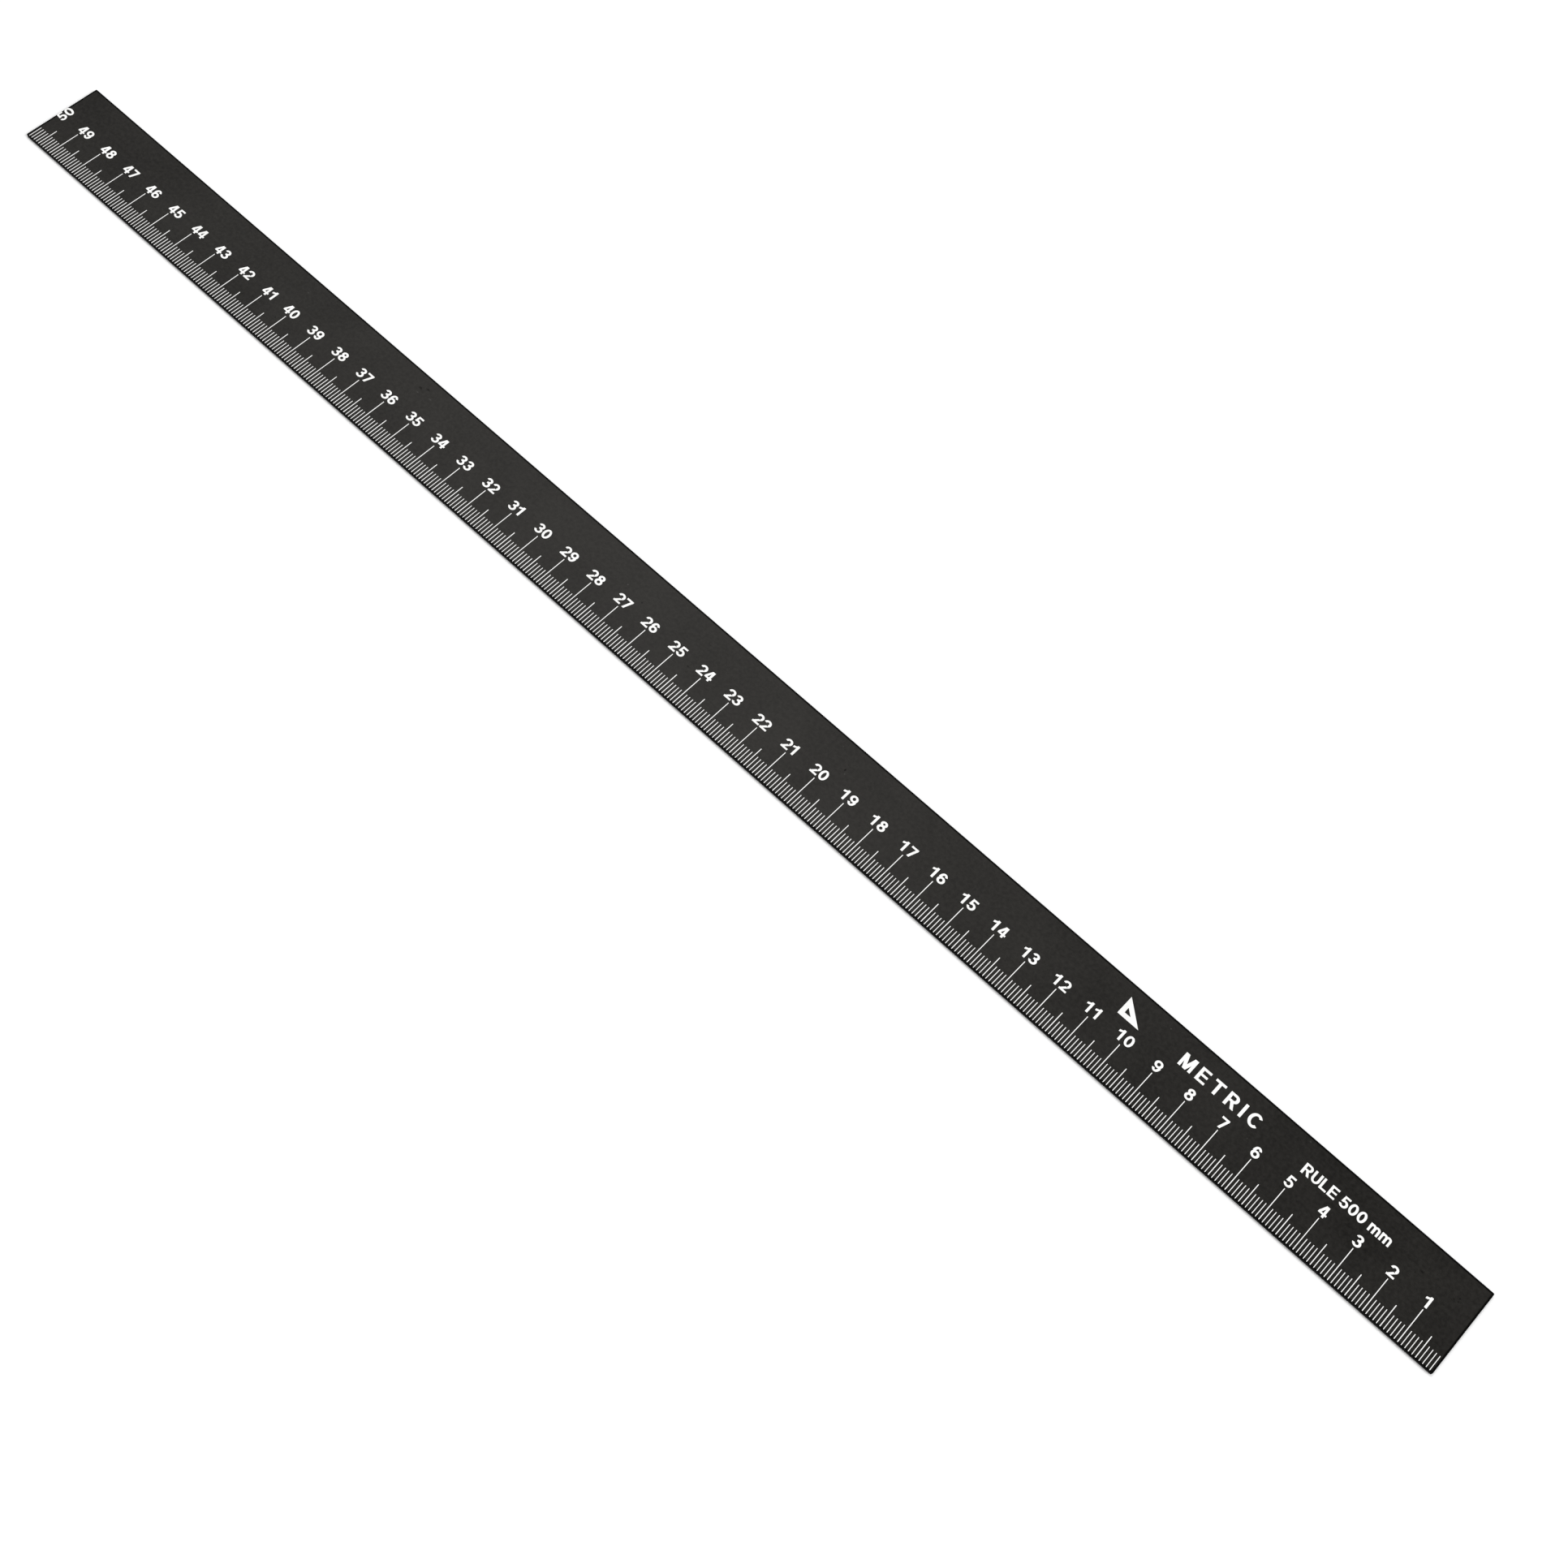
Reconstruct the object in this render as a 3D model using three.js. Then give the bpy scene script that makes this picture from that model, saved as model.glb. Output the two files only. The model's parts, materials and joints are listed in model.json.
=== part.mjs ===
// Steel ruler, 500 mm long, lying face up.
// X runs along the ruler to its zero end, Y across it to the plain back edge, and Z up.
// The origin is the middle of the underside. All sizes are in millimetres.

import * as THREE from "three";

// Driving dimensions
const rulerLength = 500;
const rulerWidth = 25;
const rulerThickness = 1; // over the coat
const coatThickness = 0.05;
const cornerRadius = 0.3; // of the outline, seen from above
const cornerSteps = 4;
const inkThickness = 0.02;

const centimetre = 10;
const lineFoot = 0.3; // bare strip between the graduated edge and a line's foot
const lineHead = 10.4; // from the graduated edge to the top of a centimetre line
const lineWidth = 0.21;

// Each layer starts where the one below it ends.
const bladeLength = rulerLength - 2 * coatThickness;
const bladeWidth = rulerWidth - 2 * coatThickness;
const bladeThickness = rulerThickness - 2 * coatThickness;
const bladeRadius = cornerRadius - coatThickness;
const bladeBottom = coatThickness;
const bladeTop = rulerThickness - coatThickness;

function steel() {
  return new THREE.MeshStandardMaterial({ color: 0xa6a8aa, roughness: 0.35, metalness: 1 });
}

function blackCoat() {
  return new THREE.MeshStandardMaterial({ color: 0x2d2c2a, roughness: 0.5, metalness: 0 });
}

function whiteInk() {
  return new THREE.MeshStandardMaterial({ color: 0xf4f3ef, roughness: 0.6, metalness: 0 });
}

// A rectangle about the origin with its corners rounded, anticlockwise.
function roundedRectangle(length, width, radius) {
  const endwaysCentre = length / 2 - radius;
  const sidewaysCentre = width / 2 - radius;
  const quarters = [[1, 1], [-1, 1], [-1, -1], [1, -1]];
  return quarters.flatMap(([endways, sideways], quarter) => {
    const corner = new THREE.EllipseCurve(
      endways * endwaysCentre, sideways * sidewaysCentre, radius, radius,
      (quarter * Math.PI) / 2, ((quarter + 1) * Math.PI) / 2,
    );
    return corner.getPoints(cornerSteps);
  });
}

const rulerOutline = roundedRectangle(rulerLength, rulerWidth, cornerRadius);
const bladeOutline = roundedRectangle(bladeLength, bladeWidth, bladeRadius);

// A flat layer of the given shape, standing on the height `bottom`.
function layer(name, shape, bottom, thickness, material) {
  const geometry = new THREE.ExtrudeGeometry(shape, { depth: thickness, bevelEnabled: false });
  const mesh = new THREE.Mesh(geometry, material);
  mesh.name = name;
  mesh.position.z = bottom;
  return mesh;
}

function steelBlade() {
  return layer("steel_blade", new THREE.Shape(bladeOutline), bladeBottom, bladeThickness, steel());
}

function backCoat() {
  return layer("back_coat", new THREE.Shape(rulerOutline), 0, coatThickness, blackCoat());
}

// The coat on the four edges is a thin frame that fits round the blade.
function edgeCoat() {
  const frame = new THREE.Shape(rulerOutline);
  frame.holes.push(new THREE.Path(bladeOutline));
  return layer("edge_coat", frame, bladeBottom, bladeThickness, blackCoat());
}

function frontCoat() {
  return layer("front_coat", new THREE.Shape(rulerOutline), bladeTop, coatThickness, blackCoat());
}

// The printed stroke that is `count` centimetres from the zero end.
function centimetreLine(count) {
  const stroke = new THREE.BoxGeometry(lineWidth, lineHead - lineFoot, inkThickness);
  const mesh = new THREE.Mesh(stroke, whiteInk());
  mesh.name = `centimetre_line_${String(count).padStart(2, "0")}`;
  mesh.position.set(
    rulerLength / 2 - count * centimetre,
    (lineFoot + lineHead - rulerWidth) / 2,
    rulerThickness + inkThickness / 2,
  );
  return mesh;
}

const ruler = new THREE.Group();
ruler.add(steelBlade(), backCoat(), edgeCoat(), frontCoat());

const lineCount = rulerLength / centimetre - 1; // none at either end
for (let count = 1; count <= lineCount; count++) {
  ruler.add(centimetreLine(count));
}

export default ruler;
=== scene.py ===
import json
from math import cos, pi, radians, sin, sqrt
import bmesh
import bpy
from mathutils import Matrix, Vector
from mathutils.geometry import delaunay_2d_cdt

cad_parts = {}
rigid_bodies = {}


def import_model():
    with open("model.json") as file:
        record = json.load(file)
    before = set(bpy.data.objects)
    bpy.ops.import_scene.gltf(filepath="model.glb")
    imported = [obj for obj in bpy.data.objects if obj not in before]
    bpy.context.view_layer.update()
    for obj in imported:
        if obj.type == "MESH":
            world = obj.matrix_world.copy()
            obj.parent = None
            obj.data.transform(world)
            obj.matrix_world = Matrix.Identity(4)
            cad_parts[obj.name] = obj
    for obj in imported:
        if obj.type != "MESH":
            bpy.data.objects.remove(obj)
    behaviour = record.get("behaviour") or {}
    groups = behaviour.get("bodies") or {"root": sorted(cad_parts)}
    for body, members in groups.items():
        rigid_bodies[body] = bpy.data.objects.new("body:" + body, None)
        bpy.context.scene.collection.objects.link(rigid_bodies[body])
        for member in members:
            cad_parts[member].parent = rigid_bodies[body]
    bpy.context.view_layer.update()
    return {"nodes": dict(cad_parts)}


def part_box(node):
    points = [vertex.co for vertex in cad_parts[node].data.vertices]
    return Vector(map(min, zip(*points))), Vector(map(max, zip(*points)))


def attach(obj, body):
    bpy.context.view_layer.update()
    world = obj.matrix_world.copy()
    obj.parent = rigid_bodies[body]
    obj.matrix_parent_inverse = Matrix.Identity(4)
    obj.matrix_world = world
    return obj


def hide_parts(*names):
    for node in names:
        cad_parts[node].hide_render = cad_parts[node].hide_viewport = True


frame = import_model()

# Steel ruler lying face up: X runs to its zero end, Y to the plain back edge, Z out of the face.
# The frame is in metres. The sizes in the dictionaries below are in millimetres.
mm = 0.001
scene = bpy.context.scene

faceLow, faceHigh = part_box("front_coat")
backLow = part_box("back_coat")[0]
rulerLength = (faceHigh.x - faceLow.x) / mm
rulerWidth = (faceHigh.y - faceLow.y) / mm
rulerThickness = (faceHigh.z - backLow.z) / mm
zeroEnd = faceHigh.x / mm
farEnd = faceLow.x / mm
graduatedEdge = faceLow.y / mm
faceHeight = faceHigh.z / mm
inkThickness = (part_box("centimetre_line_01")[1].z - faceHigh.z) / mm


def addObject(name, data):
    thing = bpy.data.objects.new(name, data)
    scene.collection.objects.link(thing)
    return thing


def meshFrom(name, corners, faces):
    mesh = bpy.data.meshes.new(name)
    mesh.from_pydata([Vector(corner) * mm for corner in corners], [], faces)
    return mesh


# A socket that is given as a value goes in as a link, and anything else as the input's own value.
def addNode(tree, kind, sockets=(), **settings):
    node = tree.nodes.new(kind)
    for name, value in settings.items():
        setattr(node, name, value)
    for name, value in dict(sockets).items():
        if isinstance(value, bpy.types.NodeSocket):
            tree.links.new(value, node.inputs[name])
        else:
            node.inputs[name].default_value = value
    return node


def maths(tree, operation, first, second=0.0, clamp=False):
    node = addNode(tree, "ShaderNodeMath", {0: first, 1: second}, operation=operation, use_clamp=clamp)
    return node.outputs[0]


def spread(tree, value, low, high, newLow=0.0, newHigh=1.0):
    sockets = {"Value": value, "From Min": low, "From Max": high, "To Min": newLow, "To Max": newHigh}
    return addNode(tree, "ShaderNodeMapRange", sockets).outputs[0]


# A mix node's colours are its sockets 6 and 7, and the mixed colour is its output 2.
def blendColour(tree, share, first, second):
    node = addNode(tree, "ShaderNodeMix", {0: share, 6: first, 7: second}, data_type="RGBA")
    return node.outputs[2]


def newTree(name, kind, inputs, outputs):
    tree = bpy.data.node_groups.new(name, kind)
    for label, socketKind in inputs.items():
        tree.interface.new_socket(label, in_out="INPUT", socket_type="NodeSocket" + socketKind)
    for label, socketKind in outputs.items():
        tree.interface.new_socket(label, in_out="OUTPUT", socket_type="NodeSocket" + socketKind)
    return tree, tree.nodes.new("NodeGroupInput").outputs, tree.nodes.new("NodeGroupOutput").inputs


def shareGroup(tree, group, sockets):
    return addNode(tree, "ShaderNodeGroup", sockets, node_tree=group).outputs[0]


usualNoise = (0.3, 0.7)  # a noise pattern's values seldom lie outside these


# Fine grain, as a sprayed or printed layer has. Size is the width of one grain in metres.
def makeGrain():
    tree, given, result = newTree("fineGrain", "ShaderNodeTree",
                                  {"Vector": "Vector", "Size": "Float"}, {"Grain": "Float"})
    scale = maths(tree, "DIVIDE", 1.0, given["Size"])
    noise = addNode(tree, "ShaderNodeTexNoise",
                    {"Vector": given["Vector"], "Scale": scale, "Detail": 3.0, "Roughness": 0.6})
    tree.links.new(noise.outputs[0], result["Grain"])
    return tree


# Slow cloudy change of tone over a surface.
def makeClouding():
    tree, given, result = newTree("clouding", "ShaderNodeTree",
                                  {"Vector": "Vector", "Size": "Float"}, {"Cloud": "Float"})
    scale = maths(tree, "DIVIDE", 1.0, given["Size"])
    noise = addNode(tree, "ShaderNodeTexNoise",
                    {"Vector": given["Vector"], "Scale": scale, "Detail": 2.0, "Distortion": 0.4})
    tree.links.new(spread(tree, noise.outputs[0], *usualNoise), result["Cloud"])
    return tree


smallestSpeck = 0.4  # its radius, as a share of the largest one's


# Scattered round specks, one in some of the cells. Share is the part of the cells that has one.
def makeSpecks():
    inputs = {"Vector": "Vector", "Cell": "Float", "Radius": "Float", "Share": "Float"}
    tree, given, result = newTree("specks", "ShaderNodeTree", inputs, {"Mask": "Float"})
    scale = maths(tree, "DIVIDE", 1.0, given["Cell"])
    cells = addNode(tree, "ShaderNodeTexVoronoi", {"Vector": given["Vector"], "Scale": scale})
    reach = maths(tree, "DIVIDE", given["Radius"], given["Cell"])
    lot = addNode(tree, "ShaderNodeSeparateColor", {0: cells.outputs["Color"]})
    sized = maths(tree, "MULTIPLY", reach, spread(tree, lot.outputs[1], 0.0, 1.0, smallestSpeck, 1.0))
    outwards = maths(tree, "DIVIDE", cells.outputs["Distance"], sized)
    inside = maths(tree, "SUBTRACT", 1.0, outwards, clamp=True)
    chosen = maths(tree, "LESS_THAN", lot.outputs[0], given["Share"])
    tree.links.new(maths(tree, "MULTIPLY", inside, chosen), result["Mask"])
    return tree


# Long fine streaks along X, as rolling and brushing leave. Length and Width are in metres.
def makeStreaks():
    inputs = {"Vector": "Vector", "Length": "Float", "Width": "Float"}
    tree, given, result = newTree("streaks", "ShaderNodeTree", inputs, {"Streak": "Float"})
    along = maths(tree, "DIVIDE", 1.0, given["Length"])
    across = maths(tree, "DIVIDE", 1.0, given["Width"])
    stretch = addNode(tree, "ShaderNodeCombineXYZ", {0: along, 1: across, 2: across})
    spot = addNode(tree, "ShaderNodeVectorMath", {0: given["Vector"], 1: stretch.outputs[0]},
                   operation="MULTIPLY")
    noise = addNode(tree, "ShaderNodeTexNoise",
                    {"Vector": spot.outputs[0], "Scale": 1.0, "Detail": 4.0, "Roughness": 0.65})
    tree.links.new(noise.outputs[0], result["Streak"])
    return tree


scuffNoise = {"perMetre": 2200.0, "strength": 1.6}  # it makes a scuff's outline ragged


# One rough patch round a centre, which fades out at about its reach.
def makeScuff():
    inputs = {"Vector": "Vector", "Centre": "Vector", "Reach": "Vector"}
    tree, given, result = newTree("scuff", "ShaderNodeTree", inputs, {"Mask": "Float"})
    offset = addNode(tree, "ShaderNodeVectorMath", {0: given["Vector"], 1: given["Centre"]},
                     operation="SUBTRACT")
    share = addNode(tree, "ShaderNodeVectorMath", {0: offset.outputs[0], 1: given["Reach"]},
                    operation="DIVIDE")
    away = addNode(tree, "ShaderNodeVectorMath", {0: share.outputs[0]}, operation="LENGTH")
    ragged = addNode(tree, "ShaderNodeTexNoise",
                     {"Vector": given["Vector"], "Scale": scuffNoise["perMetre"], "Detail": 2.0})
    edge = maths(tree, "MULTIPLY", ragged.outputs[0], scuffNoise["strength"])
    tree.links.new(maths(tree, "SUBTRACT", edge, away.outputs["Value"], clamp=True), result["Mask"])
    return tree


grainGroup = makeGrain()
cloudGroup = makeClouding()
speckGroup = makeSpecks()
streakGroup = makeStreaks()
scuffGroup = makeScuff()


def newMaterial(name):
    material = bpy.data.materials.new(name)
    material.use_nodes = True
    tree = material.node_tree
    tree.nodes.clear()
    surface = tree.nodes.new("ShaderNodeBsdfPrincipled")
    output = tree.nodes.new("ShaderNodeOutputMaterial")
    tree.links.new(surface.outputs[0], output.inputs["Surface"])
    place = tree.nodes.new("ShaderNodeTexCoord").outputs["Object"]
    return material, tree, surface.inputs, place


# The next five take sizes in millimetres, and the groups take them in metres.
def addBump(tree, surface, height, distance):
    bump = addNode(tree, "ShaderNodeBump", {"Height": height, "Distance": distance * mm, "Strength": 1.0})
    tree.links.new(bump.outputs[0], surface["Normal"])


def addClouds(tree, place, size):
    return shareGroup(tree, cloudGroup, {"Vector": place, "Size": size * mm})


def addGrain(tree, place, size):
    return shareGroup(tree, grainGroup, {"Vector": place, "Size": size * mm})


def addStreaks(tree, place, length, width):
    return shareGroup(tree, streakGroup, {"Vector": place, "Length": length * mm, "Width": width * mm})


def addSpecks(tree, place, specks):
    cell, radius, share = specks
    sockets = {"Vector": place, "Cell": cell * mm, "Radius": radius * mm, "Share": share}
    return shareGroup(tree, speckGroup, sockets)


# Adds patterns up, each times its own share.
def mixPatterns(tree, shares, clamp=False):
    total = 0.0
    for pattern, share in shares:
        total = maths(tree, "ADD", total, maths(tree, "MULTIPLY", pattern, share), clamp=clamp)
    return total


satinBlack = {
    "dark": (0.0022, 0.0020, 0.0017, 1.0),
    "light": (0.0180, 0.0170, 0.0150, 1.0),
    "dust": (0.10, 0.10, 0.095, 1.0),
    "pit": (0.0015, 0.0015, 0.0015, 1.0),
    "rub": (0.035, 0.035, 0.034, 1.0),
    "shine": 0.125,
    "shineTint": (1.0, 0.965, 0.925, 1.0),
    "shineChange": 0.45,  # between the dull and the bright parts of the mottling
    "roughness": (0.35, 0.46),
    "shineTones": (0.15, 0.85),  # of the mottling, where the shine is least and greatest
    "roughTones": (0.0, 1.2),  # of the mottling and the pits, where the roughness is least and greatest
    "paintedEdgeShadeReach": 0.65,  # of the painted shade: a darker strip along the edges and over the sides
    "paintedEdgeShadeSolid": 0.4,  # the part of it that is equally dark
    # how dark the painted edge shade is
    "paintedEdgeShadeStrength": 0.88,
    "rubReach": 0.12,  # of the wear on the edges
    "rubSize": 8.0,
    "rubShare": 0.25,
    "cloudSize": 21.0,
    "cloudShare": 0.25,  # of the mottling, as the other three shares below
    "blotchSize": 1.0,
    "blotchShare": 0.33,
    "streakLength": 30.0,
    "streakWidth": 0.5,
    "streakShare": 0.24,
    "grainSize": 0.28,
    "grainShare": 0.18,
    "grainHeight": 0.0022,
    "dustSpecks": (6.0, 0.28, 0.22),  # cell, largest radius, share of the cells
    "dustStrength": 0.6,
    "pitSpecks": (9.5, 0.45, 0.3),
    "pitStrength": 0.9,
    "pitDulling": 0.7,  # the part of the shine that a pit takes away
    "pitRoughness": 0.6,
    "scuffStrength": 0.6,  # of a light scuff, as a share of a dust speck's
    # small marks of handling: from the far end, from the graduated edge, half length, half width
    "lightScuffs": (
        (98.0, 20.2, 0.5, 0.4),
        (143.9, 19.1, 0.6, 0.35),
        (148.0, 19.8, 0.6, 0.3),
        (304.6, 16.6, 0.3, 0.3),
        (447.7, 23.7, 0.4, 0.3),
    ),
    "darkScuffs": (
        (143.4, 20.6, 1.2, 0.6),
        (145.3, 21.6, 1.1, 0.5),
        (233.6, 15.6, 0.5, 0.4),
        (255.2, 10.7, 0.55, 0.5),
        (304.0, 17.5, 0.35, 0.8),
        (483.7, 16.1, 0.5, 0.45),
        (484.8, 17.3, 0.9, 0.5),
        (493.8, 17.4, 0.4, 0.35),
        (494.8, 18.4, 0.4, 0.35),
        (494.9, 17.5, 0.3, 0.3),
    ),
}


def satinBlackCoat():
    look = satinBlack
    material, tree, surface, place = newMaterial("satinBlackCoat")
    cloud = addClouds(tree, place, look["cloudSize"])
    blotch = addClouds(tree, place, look["blotchSize"])
    streak = addStreaks(tree, place, look["streakLength"], look["streakWidth"])
    grain = addGrain(tree, place, look["grainSize"])
    tone = mixPatterns(tree, ((cloud, look["cloudShare"]), (blotch, look["blotchShare"]),
                              (streak, look["streakShare"]), (grain, look["grainShare"])))
    # the marks on the coat, the painted shade in a darker strip along its edges, and the wear along them
    pits = addSpecks(tree, place, look["pitSpecks"])
    dark = maths(tree, "MAXIMUM", pits, scuffMask(tree, place, look["darkScuffs"]))
    pale = maths(tree, "MULTIPLY", scuffMask(tree, place, look["lightScuffs"]), look["scuffStrength"])
    bright = maths(tree, "MAXIMUM", addSpecks(tree, place, look["dustSpecks"]), pale)
    # painted shade: the coat is darkened in a strip along its edges and over its sides
    rim = edgeNearness(tree, place, look["paintedEdgeShadeReach"], look["paintedEdgeShadeSolid"])
    rim = maths(tree, "MULTIPLY", rim, look["paintedEdgeShadeStrength"])
    rubbed = maths(tree, "MULTIPLY", addClouds(tree, place, look["rubSize"]), grain)
    rubbed = maths(tree, "MULTIPLY", rubbed, look["rubShare"], clamp=True)
    rubbed = maths(tree, "MULTIPLY", rubbed, edgeNearness(tree, place, look["rubReach"], 0.0))
    # each of them over the mottled black; the pits and dark scuffs go on together with the painted edge
    # shade
    pitsAndPaintedShade = maths(tree, "MAXIMUM", rim, maths(tree, "MULTIPLY", dark, look["pitStrength"]))
    colour = blendColour(tree, tone, look["dark"], look["light"])
    colour = blendColour(tree, pitsAndPaintedShade, colour, look["pit"])
    colour = blendColour(tree, maths(tree, "MULTIPLY", bright, look["dustStrength"]), colour, look["dust"])
    colour = blendColour(tree, rubbed, colour, look["rub"])
    tree.links.new(colour, surface["Base Color"])
    # the shine follows the mottling, and the painted edge shade and the pits take it away
    middle, half = look["shine"], look["shine"] * look["shineChange"] / 2
    level = spread(tree, tone, *look["shineTones"], middle - half, middle + half)
    for mask in (rim, maths(tree, "MULTIPLY", dark, look["pitDulling"])):
        level = maths(tree, "MULTIPLY", level, maths(tree, "SUBTRACT", 1.0, mask))
    tree.links.new(level, surface["Specular IOR Level"])
    surface["Specular Tint"].default_value = look["shineTint"]
    rough = maths(tree, "ADD", tone, maths(tree, "MULTIPLY", dark, look["pitRoughness"]))
    tree.links.new(spread(tree, rough, *look["roughTones"], *look["roughness"]), surface["Roughness"])
    addBump(tree, surface, grain, look["grainHeight"])
    return material


# 1 from the ruler's four edges as far in as solid, then falling to 0 at the reach.
def edgeNearness(tree, place, reach, solid):
    parts = addNode(tree, "ShaderNodeSeparateXYZ", {0: place}).outputs
    nearest = []
    for part, size in ((parts[0], rulerLength), (parts[1], rulerWidth)):
        away = maths(tree, "ABSOLUTE", part)
        nearest.append(spread(tree, away, (size / 2 - reach) * mm, (size / 2 - solid) * mm))
    return maths(tree, "MAXIMUM", nearest[0], nearest[1])


# Soft-edged marks at given places on the face, the strongest of them wherever two overlap.
def scuffMask(tree, place, scuffs):
    mask = 0.0
    for fromEnd, fromEdge, halfLength, halfWidth in scuffs:
        spot = ((farEnd + fromEnd) * mm, (graduatedEdge + fromEdge) * mm, faceHeight * mm)
        reach = (halfLength * mm, halfWidth * mm, rulerThickness / 2 * mm)
        mask = maths(tree, "MAXIMUM", mask,
                     shareGroup(tree, scuffGroup, {"Vector": place, "Centre": spot, "Reach": reach}))
    return mask


printedInk = {
    "thin": (0.80, 0.795, 0.78, 1.0),
    "full": (0.93, 0.93, 0.92, 1.0),
    "pinhole": (0.45, 0.45, 0.44, 1.0),
    "shine": 0.35,
    "roughness": (0.5, 0.66),
    "cloudSize": 4.0,
    "cloudShare": 0.7,
    "grainSize": 0.16,
    "grainShare": 0.5,
    "grainHeight": 0.0016,
    "pinholes": (1.1, 0.09, 0.14),  # cell, largest radius, share of the cells
    "pinholeStrength": 0.7,
}


def printedWhiteInk():
    look = printedInk
    material, tree, surface, place = newMaterial("printedWhiteInk")
    surface["Specular IOR Level"].default_value = look["shine"]
    cloud = addClouds(tree, place, look["cloudSize"])
    grain = addGrain(tree, place, look["grainSize"])
    holes = maths(tree, "MULTIPLY", addSpecks(tree, place, look["pinholes"]), look["pinholeStrength"])
    tone = mixPatterns(tree, ((cloud, look["cloudShare"]), (grain, look["grainShare"])), clamp=True)
    colour = blendColour(tree, tone, look["thin"], look["full"])
    tree.links.new(blendColour(tree, holes, colour, look["pinhole"]), surface["Base Color"])
    tree.links.new(spread(tree, grain, *usualNoise, *look["roughness"]), surface["Roughness"])
    addBump(tree, surface, grain, look["grainHeight"])
    return material


rolledSteel = {
    "dark": (0.46, 0.465, 0.47, 1.0),
    "light": (0.66, 0.665, 0.67, 1.0),
    "roughness": (0.28, 0.46),
    "streakLength": 60.0,
    "streakWidth": 0.22,
    "streakShare": 0.7,
    "streakHeight": 0.004,
    "cloudSize": 12.0,
    "cloudShare": 0.3,
}


def brushedSteel():
    look = rolledSteel
    material, tree, surface, place = newMaterial("brushedSteel")
    surface["Metallic"].default_value = 1.0
    streak = addStreaks(tree, place, look["streakLength"], look["streakWidth"])
    cloud = addClouds(tree, place, look["cloudSize"])
    tone = mixPatterns(tree, ((streak, look["streakShare"]), (cloud, look["cloudShare"])))
    tree.links.new(blendColour(tree, tone, look["dark"], look["light"]), surface["Base Color"])
    tree.links.new(spread(tree, streak, *usualNoise, *look["roughness"]), surface["Roughness"])
    addBump(tree, surface, streak, look["streakHeight"])
    return material


blackMaterial = satinBlackCoat()
inkMaterial = printedWhiteInk()
steelMaterial = brushedSteel()
print("materials ready")

steelBlade = frame["nodes"]["steel_blade"]
steelBlade.data.materials.clear()
steelBlade.data.materials.append(steelMaterial)

coat = {
    "cornerRadius": 0.3,  # seen from above
    "cornerSteps": 6,
    "edgeRounding": 0.1,  # seen from the end
    "edgeSteps": 4,
}


def roundedOutline(inset):
    radius = coat["cornerRadius"] - inset
    length, width = rulerLength / 2 - coat["cornerRadius"], rulerWidth / 2 - coat["cornerRadius"]
    outline = []
    for quarter, (endways, sideways) in enumerate(((1, 1), (-1, 1), (-1, -1), (1, -1))):
        for step in range(coat["cornerSteps"] + 1):
            angle = (quarter + step / coat["cornerSteps"]) * pi / 2
            outline.append((endways * length + radius * cos(angle), sideways * width + radius * sin(angle)))
    return outline


# One closed skin round the blade, with every edge slightly rounded.
def blackCoat():
    rounding = coat["edgeRounding"]
    lower = []
    for step in range(coat["edgeSteps"] + 1):
        angle = step / coat["edgeSteps"] * pi / 2
        lower.append((rounding * (1 - sin(angle)), rounding * (1 - cos(angle))))
    upper = [(inset, rulerThickness - height) for inset, height in reversed(lower)]
    bottom = backLow.z / mm
    rings = [[(x, y, bottom + height) for x, y in roundedOutline(inset)] for inset, height in lower + upper]
    around = len(rings[0])
    faces = [list(reversed(range(around)))]
    for ring in range(len(rings) - 1):
        for spot in range(around):
            here, beyond = ring * around + spot, ring * around + (spot + 1) % around
            faces.append([here, beyond, beyond + around, here + around])
    faces.append([(len(rings) - 1) * around + spot for spot in range(around)])
    mesh = meshFrom("black_coat", [corner for ring in rings for corner in ring], faces)
    for face in mesh.polygons:
        face.use_smooth = len(face.vertices) == 4
    mesh.materials.append(blackMaterial)
    return addObject("black_coat", mesh)


coatObject = blackCoat()
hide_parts("front_coat", "back_coat", "edge_coat")
print("coat ready")

lines = {
    "spacing": 1.0,
    "foot": 0.3,  # bare strip between the graduated edge and a line's foot
    "millimetreHead": 4.55,
    "fiveHead": 6.82,
    "centimetreHead": 10.4,
    "millimetreWidth": 0.18,
    "longWidth": 0.21,
    "unevenness": 0.008,  # of a printed line's width and length
    "seed": 7,
}


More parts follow.
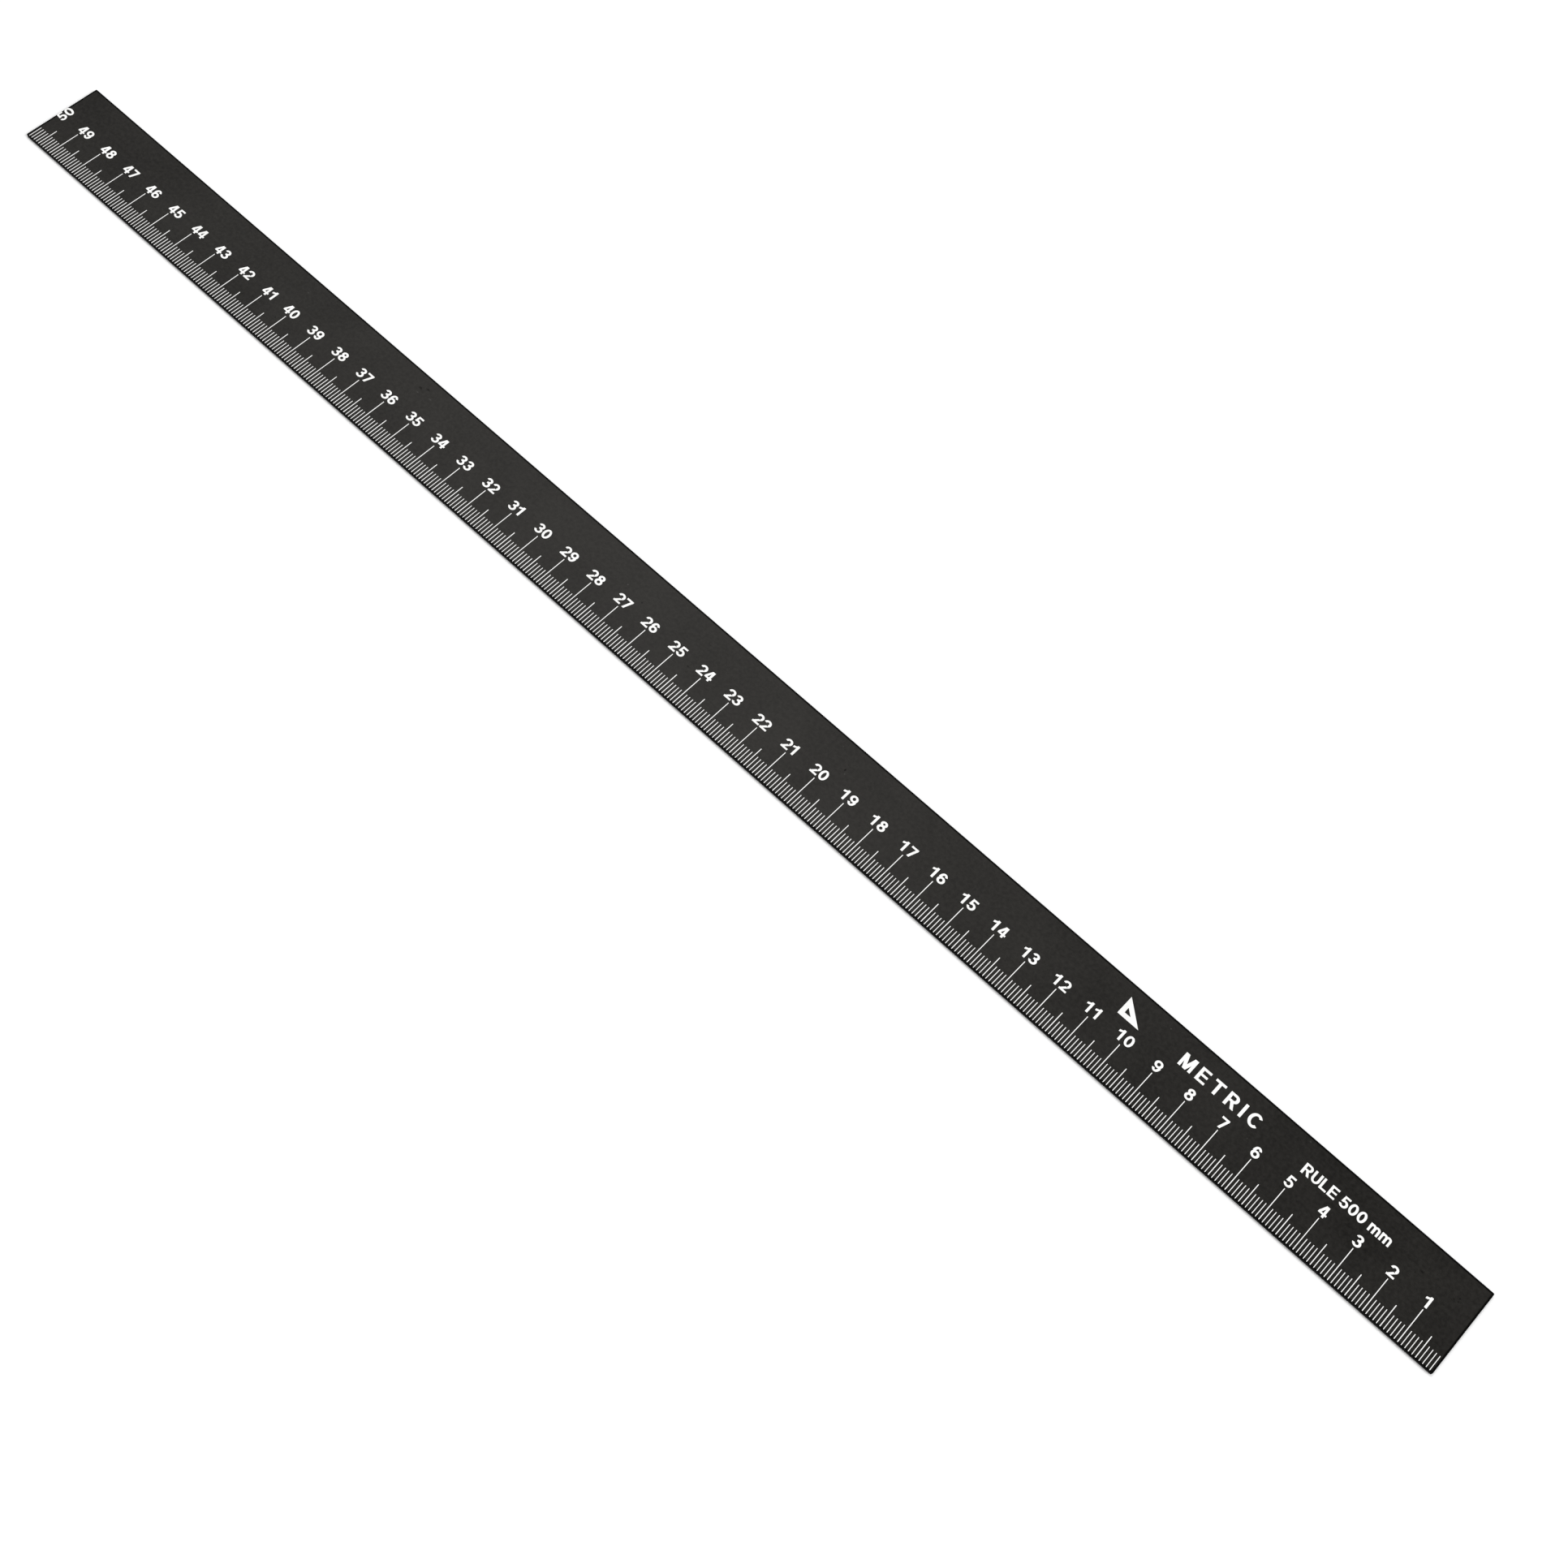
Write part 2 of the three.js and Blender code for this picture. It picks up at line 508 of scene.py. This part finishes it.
def lineTree():
    inputs = {"Count": "Int", "Spacing": "Float", "Zero End": "Float", "Graduated Edge": "Float",
              "Face": "Float", "Foot": "Float", "Millimetre Head": "Float", "Five Head": "Float",
              "Centimetre Head": "Float", "Millimetre Width": "Float", "Long Width": "Float",
              "Ink": "Float", "Unevenness": "Float", "Seed": "Int", "Material": "Material"}
    tree, given, result = newTree("graduationLines", "GeometryNodeTree", inputs, {"Geometry": "Geometry"})
    count = maths(tree, "ADD", tree.nodes.new("GeometryNodeInputIndex").outputs[0], 1.0)
    isFive = everyNth(tree, count, 5.0)
    isTen = everyNth(tree, count, 10.0)
    head = choose(tree, isTen, choose(tree, isFive, given["Millimetre Head"], given["Five Head"]),
                  given["Centimetre Head"])
    width = choose(tree, isFive, given["Millimetre Width"], given["Long Width"])
    length = maths(tree, "SUBTRACT", head, given["Foot"])
    width = maths(tree, "ADD", width, jitter(tree, given, 0))
    length = maths(tree, "ADD", length, jitter(tree, given, 1))
    x = maths(tree, "SUBTRACT", given["Zero End"], maths(tree, "MULTIPLY", count, given["Spacing"]))
    y = maths(tree, "ADD", maths(tree, "ADD", given["Graduated Edge"], given["Foot"]),
              maths(tree, "MULTIPLY", length, 0.5))
    z = maths(tree, "ADD", given["Face"], maths(tree, "MULTIPLY", given["Ink"], 0.5))
    points = pointsAt(tree, given["Count"], x, y, z)
    cube = addNode(tree, "GeometryNodeMeshCube", {"Size": (1.0, 1.0, 1.0)})
    size = addNode(tree, "ShaderNodeCombineXYZ", {0: width, 1: length, 2: given["Ink"]})
    copies = addNode(tree, "GeometryNodeInstanceOnPoints",
                     {"Points": points, "Instance": cube.outputs[0], "Scale": size.outputs[0]})
    finishTree(tree, copies.outputs[0], given["Material"], result)
    return tree


# 1 at every nth count, and 0 at the others.
def everyNth(tree, count, number):
    remainder = maths(tree, "MODULO", count, number)
    return maths(tree, "LESS_THAN", remainder, 0.5)


def choose(tree, share, normal, special):
    node = addNode(tree, "GeometryNodeSwitch", {"Switch": share, "False": normal, "True": special},
                   input_type="FLOAT")
    return node.outputs[0]


# A random number's own float sockets are inputs 2 and 3 and output 1.
def jitter(tree, given, shift):
    seed = maths(tree, "ADD", given["Seed"], float(shift))
    lowest = maths(tree, "MULTIPLY", given["Unevenness"], -1.0)
    node = addNode(tree, "FunctionNodeRandomValue", {2: lowest, 3: given["Unevenness"], "Seed": seed},
                   data_type="FLOAT")
    return node.outputs[1]


def pointsAt(tree, count, x, y, z):
    row = addNode(tree, "GeometryNodeMeshLine", {"Count": count})
    spot = addNode(tree, "ShaderNodeCombineXYZ", {0: x, 1: y, 2: z})
    moved = addNode(tree, "GeometryNodeSetPosition",
                    {"Geometry": row.outputs[0], "Position": spot.outputs[0]})
    return moved.outputs[0]


def finishTree(tree, geometry, material, result):
    solid = addNode(tree, "GeometryNodeRealizeInstances", {"Geometry": geometry})
    painted = addNode(tree, "GeometryNodeSetMaterial", {"Geometry": solid.outputs[0], "Material": material})
    tree.links.new(painted.outputs[0], result["Geometry"])


# Runs a geometry tree once and keeps its result as a plain mesh.
def grow(name, tree, values):
    host = addObject("maker", bpy.data.meshes.new("maker"))
    modifier = host.modifiers.new("maker", "NODES")
    modifier.node_group = tree
    for label, value in values.items():
        modifier[tree.interface.items_tree[label].identifier] = value
    evaluated = host.evaluated_get(bpy.context.evaluated_depsgraph_get())
    mesh = bpy.data.meshes.new_from_object(evaluated)
    mesh.name = name
    bpy.data.objects.remove(host)
    return addObject(name, mesh)


lineObject = grow("graduation_lines", lineTree(), {
    "Count": round(rulerLength / lines["spacing"]) - 1,  # no line at either end
    "Spacing": lines["spacing"] * mm,
    "Zero End": zeroEnd * mm,
    "Graduated Edge": graduatedEdge * mm,
    "Face": faceHeight * mm,
    "Foot": lines["foot"] * mm,
    "Millimetre Head": lines["millimetreHead"] * mm,
    "Five Head": lines["fiveHead"] * mm,
    "Centimetre Head": lines["centimetreHead"] * mm,
    "Millimetre Width": lines["millimetreWidth"] * mm,
    "Long Width": lines["longWidth"] * mm,
    "Ink": inkThickness * mm,
    "Unevenness": lines["unevenness"] * mm,
    "Seed": lines["seed"],
    "Material": inkMaterial,
})
centimetreNodes = sorted(name for name in frame["nodes"] if name.startswith("centimetre_line_"))
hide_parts(*centimetreNodes)
print("graduation lines ready:", len(lineObject.data.polygons) // 6)  # six faces to a line

# Numerals and letters are drawn 1 high with a pen that is wider on upright strokes.
pen = {
    "uprightHalf": 0.105,
    "levelHalf": 0.084,
    "stepsPerTurn": 28,
    "figureWidth": 0.72,
    "joinGap": 0.00001,  # mm between corners that count as one
    "straightTurn": 1.0,  # degrees of bend that count as none
}


def bar(left, low, right, high):
    return [[(left, low), (right, low), (right, high), (left, high)]]


# A sloping stroke that is cut level at both ends.
def slant(topX, topY, footX, footY, half):
    return [[(footX - half, footY), (footX + half, footY), (topX + half, topY), (topX - half, topY)]]


def bow(centreX, centreY, radiusX, radiusY, start, end):
    steps = max(3, round(abs(end - start) / 360 * pen["stepsPerTurn"]))
    rim = []
    for step in range(steps + 1):
        angle = radians(start + (end - start) * step / steps)
        middle = Vector((centreX + radiusX * cos(angle), centreY + radiusY * sin(angle)))
        out = Vector((cos(angle) / radiusX, sin(angle) / radiusY)).normalized()
        reach = Vector((pen["uprightHalf"] ** 2 * out.x, pen["levelHalf"] ** 2 * out.y))
        reach /= sqrt((pen["uprightHalf"] * out.x) ** 2 + (pen["levelHalf"] * out.y) ** 2)
        rim.append((middle - reach, middle + reach))
    return [[rim[i][0], rim[i][1], rim[i + 1][1], rim[i + 1][0]] for i in range(steps)]


def turnedOver(strokes, width):
    return [[(width - x, 1 - y) for x, y in quad] for quad in strokes]


six = bow(0.36, 0.315, 0.255, 0.235, 0, 360) + bow(0.365, 0.5, 0.26, 0.42, 178, 35)
strokesOf = {
    "0": bow(0.36, 0.5, 0.26, 0.42, 0, 360),
    "1": bar(0.32, 0, 0.53, 1) + [[(0.02, 0.62), (0.19, 0.66), (0.25, 0.87), (0.02, 0.80)],
                                  [(0.19, 0.66), (0.33, 0.76), (0.37, 1.0), (0.25, 0.87)]],
    "2": (bow(0.36, 0.69, 0.255, 0.228, 172, -48) + slant(0.51, 0.5, 0.13, 0.1, 0.125)
          + bar(0, 0, 0.71, 0.165)),
    "3": (bow(0.345, 0.735, 0.225, 0.185, 168, -90) + bow(0.345, 0.305, 0.262, 0.223, 90, -168)
          + bar(0.26, 0.455, 0.4, 0.61)),
    "4": bar(0.4, 0, 0.6, 1) + bar(0, 0.2, 0.73, 0.355) + slant(0.42, 1, 0.1, 0.34, 0.11),
    "5": (bar(0.13, 0.835, 0.66, 1) + slant(0.2, 1, 0.135, 0.44, 0.09)
          + bow(0.34, 0.33, 0.265, 0.248, 142, -165)),
    "6": six,
    "7": bar(0.01, 0.83, 0.7, 1) + slant(0.59, 0.87, 0.27, 0, 0.11),
    "8": bow(0.36, 0.74, 0.215, 0.178, 0, 360) + bow(0.36, 0.305, 0.255, 0.223, 0, 360),
    "9": turnedOver(six, pen["figureWidth"]),
    "M": (bar(0, 0, 0.2, 1) + bar(0.76, 0, 0.96, 1) + slant(0.15, 1, 0.48, 0, 0.12)
          + slant(0.81, 1, 0.48, 0, 0.12)),
    "E": bar(0, 0, 0.21, 1) + bar(0, 0, 0.72, 0.165) + bar(0, 0.43, 0.67, 0.59) + bar(0, 0.835, 0.71, 1),
    "T": bar(0, 0.83, 0.78, 1) + bar(0.285, 0, 0.495, 1),
    "R": (bar(0, 0, 0.21, 1) + bar(0.1, 0.836, 0.45, 1) + bar(0.1, 0.4, 0.45, 0.564)
          + bow(0.45, 0.7, 0.21, 0.218, 90, -90) + slant(0.42, 0.45, 0.68, 0, 0.12)),
    "I": bar(0, 0, 0.21, 1),
    "L": bar(0, 0, 0.2, 1) + bar(0, 0, 0.67, 0.165),
    "U": bar(0, 0.36, 0.2, 1) + bar(0.54, 0.36, 0.74, 1) + bow(0.37, 0.36, 0.27, 0.285, 180, 360),
    "C": bow(0.44, 0.5, 0.335, 0.42, 42, 318),
    "m": (bar(0, 0, 0.19, 0.74) + bow(0.29, 0.48, 0.19, 0.178, 180, 0) + bar(0.385, 0, 0.585, 0.5)
          + bow(0.675, 0.48, 0.19, 0.178, 180, 0) + bar(0.77, 0, 0.965, 0.5)),
}


# Joins overlapping strokes into one flat outline and gives it the ink's thickness.
def inkShape(name, strokes, cutLeft=None):
    corners, quads = [], []
    for quad in strokes:
        twiceArea = sum(a[0] * b[1] - b[0] * a[1] for a, b in zip(quad, quad[1:] + quad[:1]))
        ordered = quad if twiceArea > 0 else quad[::-1]
        quads.append(list(range(len(corners), len(corners) + 4)))
        corners += [Vector(corner) for corner in ordered]
    points, _, faces, _, _, sources = delaunay_2d_cdt(corners, [], quads, 0, pen["joinGap"])
    flat = bmesh.new()
    spots = [flat.verts.new((point.x, point.y, 0)) for point in points]
    for face, source in zip(faces, sources):
        if source:
            flat.faces.new([spots[i] for i in face])
    if cutLeft is not None:
        everything = flat.verts[:] + flat.edges[:] + flat.faces[:]
        bmesh.ops.bisect_plane(flat, geom=everything, plane_co=(cutLeft, 0, 0), plane_no=(-1, 0, 0),
                               clear_outer=True)
    bmesh.ops.dissolve_limit(flat, angle_limit=radians(pen["straightTurn"]), verts=flat.verts,
                             edges=flat.edges)
    loose = [vert for vert in flat.verts if not vert.link_faces]
    bmesh.ops.delete(flat, geom=loose, context="VERTS")
    flat.verts.index_update()
    outline = [tuple(vert.co) for vert in flat.verts]
    tops = [[vert.index for vert in face.verts] for face in flat.faces]
    tops = [top if face.normal.z > 0 else top[::-1] for top, face in zip(tops, flat.faces)]
    flat.free()
    return prism(name, outline, tops)


# Walls stand on the edges that only one of the flat faces has.
def prism(name, outline, tops):
    under = len(outline)
    edges = {(a, b) for top in tops for a, b in zip(top, top[1:] + top[:1])}
    rim = sorted(edge for edge in edges if edge[::-1] not in edges)
    walls = [[a + under, b + under, b, a] for a, b in rim]
    bottoms = [[spot + under for spot in reversed(top)] for top in tops]
    corners = [(x, y, inkThickness) for x, y, _ in outline] + [(x, y, 0) for x, y, _ in outline]
    mesh = meshFrom(name, corners, tops + bottoms + walls)
    mesh.materials.append(inkMaterial)
    return mesh


def placed(strokes, size, x, y):
    return [[(x + corner[0] * size, y + corner[1] * size) for corner in quad] for quad in strokes]


# Turned a quarter anticlockwise, so that it reads away from the graduated edge.
def placedTurned(strokes, size, x, y):
    return [[(x - corner[1] * size, y + corner[0] * size) for corner in quad] for quad in strokes]


def liftToFace(mesh):
    mesh.transform(Matrix.Translation((0, 0, faceHeight * mm)))
    return mesh


numerals = {
    "spacing": 10.0,
    "height": 3.1,
    "middle": 0.385,  # of a figure's cell, as a share of its height
    "foot": 11.0,  # above the graduated edge
    "halfStep": 1.27,  # from a pair's middle to the middle of either figure
    "lateStart": 41,  # from here the numerals stand beside their lines
    "lateShift": 1.1,
    "endFoot": 3.05,  # of the turned numeral, from the far end
    "endStart": 10.35,  # above the graduated edge
}


def digitCollection():
    digits = bpy.data.collections.new("digits")
    for figure in "0123456789":
        strokes = placed(strokesOf[figure], numerals["height"], -numerals["middle"] * numerals["height"], 0)
        digits.objects.link(bpy.data.objects.new("digit" + figure, inkShape("digit" + figure, strokes)))
    return digits


def numeralTree():
    inputs = {"Count": "Int", "Spacing": "Float", "Zero End": "Float", "Foot": "Float", "Face": "Float",
              "Half Step": "Float", "Late Start": "Int", "Late Shift": "Float",
              "Digits": "Collection", "Material": "Material"}
    tree, given, result = newTree("scaleNumerals", "GeometryNodeTree", inputs, {"Geometry": "Geometry"})
    count = maths(tree, "ADD", tree.nodes.new("GeometryNodeInputIndex").outputs[0], 1.0)
    tens = maths(tree, "FLOOR", maths(tree, "DIVIDE", count, 10.0))
    ones = maths(tree, "MODULO", count, 10.0)
    isPair = maths(tree, "GREATER_THAN", count, 9.5)  # from 10 on
    isLate = maths(tree, "GREATER_THAN", count, maths(tree, "SUBTRACT", given["Late Start"], 0.5))
    x = maths(tree, "SUBTRACT", given["Zero End"], maths(tree, "MULTIPLY", count, given["Spacing"]))
    x = maths(tree, "ADD", x, maths(tree, "MULTIPLY", isLate, given["Late Shift"]))
    onesX = maths(tree, "ADD", x, maths(tree, "MULTIPLY", isPair, given["Half Step"]))
    tensX = maths(tree, "SUBTRACT", x, given["Half Step"])
    digits = addNode(tree, "GeometryNodeCollectionInfo",
                     {"Collection": given["Digits"], "Separate Children": True, "Reset Children": True})
    joined = tree.nodes.new("GeometryNodeJoinGeometry")
    for figure, figureX, shown in ((ones, onesX, True), (tens, tensX, isPair)):
        points = pointsAt(tree, given["Count"], figureX, given["Foot"], given["Face"])
        sockets = {"Points": points, "Selection": shown, "Instance": digits.outputs[0],
                   "Pick Instance": True, "Instance Index": figure}
        copies = addNode(tree, "GeometryNodeInstanceOnPoints", sockets)
        tree.links.new(copies.outputs[0], joined.inputs[0])
    finishTree(tree, joined.outputs[0], given["Material"], result)
    return tree


digits = digitCollection()
numeralObject = grow("scale_numerals", numeralTree(), {
    "Count": len(centimetreNodes),
    "Spacing": numerals["spacing"] * mm,
    "Zero End": zeroEnd * mm,
    "Foot": (graduatedEdge + numerals["foot"]) * mm,
    "Face": faceHeight * mm,
    "Half Step": numerals["halfStep"] * mm,
    "Late Start": numerals["lateStart"],
    "Late Shift": numerals["lateShift"] * mm,
    "Digits": digits,
    "Material": inkMaterial,
})
for digit in list(digits.objects):
    bpy.data.objects.remove(digit)
bpy.data.collections.remove(digits)


# The numeral at the far end is turned, and the end cuts a sliver off its top.
def endNumeral():
    size = numerals["height"]
    strokes = []
    for place, figure in enumerate("50"):
        y = graduatedEdge + numerals["endStart"] + place * 2 * numerals["halfStep"]
        strokes += placedTurned(strokesOf[figure], size, farEnd + numerals["endFoot"], y)
    mesh = inkShape("end_numeral", strokes, cutLeft=farEnd + coat["edgeRounding"])
    return addObject("end_numeral", liftToFace(mesh))


endNumeralObject = endNumeral()
print("numerals ready:", len(numeralObject.data.polygons), "faces")

# Plain marks near the zero end. Left and right are measured from the far end.
marks = {
    "word": "METRIC",
    "wordSpan": (412.8, 436.3),
    "wordFoot": 16.5,
    "wordHeight": 3.9,
    "note": "RULE 500 mm",
    "noteSpan": (450.1, 475.7),
    "noteFoot": 16.2,
    "noteHeight": 3.0,
    "space": 0.2,
    "squareLeft": 394.4,
    "squareFoot": 16.3,
    "squareWidth": 6.5,
    "squareHeight": 5.55,
    "squareBand": 1.25,
}


# Sets the letters between two ends with equal gaps.
def setText(text, span, size):
    wide = [max(x for quad in strokesOf[letter] for x, _ in quad) * size if letter != " "
            else marks["space"] * size for letter in text]
    gap = (span[1] - span[0] - sum(wide)) / (len(text) - 1)
    strokes, x = [], span[0]
    for letter, width in zip(text, wide):
        if letter != " ":
            strokes += placed(strokesOf[letter], size, x, 0)
        x += width + gap
    return strokes


def printedText(name, text, span, foot, size):
    mesh = inkShape(name, placed(setText(text, span, size), 1, farEnd, graduatedEdge + foot))
    return addObject(name, liftToFace(mesh))


# A small set square: a right-angled triangle with a triangular window.
def setSquareMark():
    wide, high, band = marks["squareWidth"], marks["squareHeight"], marks["squareBand"]
    slope = sqrt(wide ** 2 + high ** 2)
    farAlong = wide - band * (wide + slope) / high
    farUp = high - band * (high + slope) / wide
    outer = [(0, 0), (wide, 0), (0, high)]
    inner = [(band, band), (farAlong, band), (band, farUp)]
    strokes = [[outer[i], outer[(i + 1) % 3], inner[(i + 1) % 3], inner[i]] for i in range(3)]
    strokes = placed(strokes, 1, farEnd + marks["squareLeft"], graduatedEdge + marks["squareFoot"])
    return addObject("set_square_mark", liftToFace(inkShape("set_square_mark", strokes)))


printedObjects = [
    numeralObject,
    endNumeralObject,
    setSquareMark(),
    printedText("unit_word", marks["word"], marks["wordSpan"], marks["wordFoot"], marks["wordHeight"]),
    printedText("length_note", marks["note"], marks["noteSpan"], marks["noteFoot"], marks["noteHeight"]),
]
for piece in [coatObject, lineObject] + printedObjects:
    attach(piece, "root")
print("marks ready")

studio = {
    "floorHalf": 40000.0,
    "floorDrop": 0.04,  # below the ruler's underside
    "floorColour": (0.94, 0.94, 0.94, 1.0),
    "skyLight": 0.5,
    "skySeen": 1.05,
    "lamps": (
        {"name": "broadLamp", "towards": (-0.60, 0.63, 1.5), "spread": 26, "strength": 0.88},
        {"name": "endLamp", "towards": (1.3, 0.3, 1.1), "spread": 34, "strength": 2.0},
    ),
}


def plainFloor():
    half = studio["floorHalf"] * mm
    height = backLow.z - studio["floorDrop"] * mm
    mesh = bpy.data.meshes.new("floor")
    corners = [(-half, -half, height), (half, -half, height), (half, half, height), (-half, half, height)]
    mesh.from_pydata(corners, [], [(0, 1, 2, 3)])
    material, _, surface, _ = newMaterial("palePaper")
    surface["Base Color"].default_value = studio["floorColour"]
    surface["Roughness"].default_value = 1.0
    surface["Specular IOR Level"].default_value = 0.0
    mesh.materials.append(material)
    return addObject("floor", mesh)


# Broad far-off lamps, so that the floor is as bright at the horizon as round the ruler.
def addLamp(lamp):
    light = bpy.data.lights.new(lamp["name"], "SUN")
    light.angle = radians(lamp["spread"])
    light.energy = lamp["strength"]
    thing = addObject(lamp["name"], light)
    thing.rotation_euler = Vector(lamp["towards"]).to_track_quat("Z", "Y").to_euler()


# The sky lights the ruler about half as strongly as it shows behind it.
def softSky():
    sky = bpy.data.worlds.new("softSky")
    sky.use_nodes = True
    tree = sky.node_tree
    seen = tree.nodes.new("ShaderNodeLightPath").outputs["Is Camera Ray"]
    strength = spread(tree, seen, 0.0, 1.0, studio["skyLight"], studio["skySeen"])
    background = tree.nodes["Background"].inputs
    background["Color"].default_value = (1.0, 1.0, 1.0, 1.0)
    tree.links.new(strength, background["Strength"])
    return sky


plainFloor()
for lamp in studio["lamps"]:
    addLamp(lamp)
scene.world = softSky()
scene.view_settings.view_transform = "Standard"
print("studio ready")

viewpoint = {
    "lens": 48.1,
    "sensor": 36.0,
    "nearest": 10.0,
    "aim": (45.8, -8.8, 1.0),
    "distance": 524.8,
    "azimuth": 35.73,
    "elevation": 63.59,
    "roll": 8.52,
}


def addCamera():
    turn, rise, roll = (radians(viewpoint[name]) for name in ("azimuth", "elevation", "roll"))
    level = Vector((cos(turn), sin(turn), 0))
    back = Vector((sin(turn) * cos(rise), -cos(turn) * cos(rise), sin(rise)))
    upward = back.cross(level)
    right = cos(roll) * level + sin(roll) * upward
    upward = back.cross(right)
    place = (Vector(viewpoint["aim"]) + viewpoint["distance"] * back) * mm
    data = bpy.data.cameras.new("camera")
    data.lens = viewpoint["lens"]
    data.sensor_width = viewpoint["sensor"]
    data.clip_start = viewpoint["nearest"] * mm
    thing = addObject("camera", data)
    thing.matrix_world = Matrix.Translation(place) @ Matrix((right, upward, back)).transposed().to_4x4()
    scene.camera = thing


addCamera()
print("camera ready")
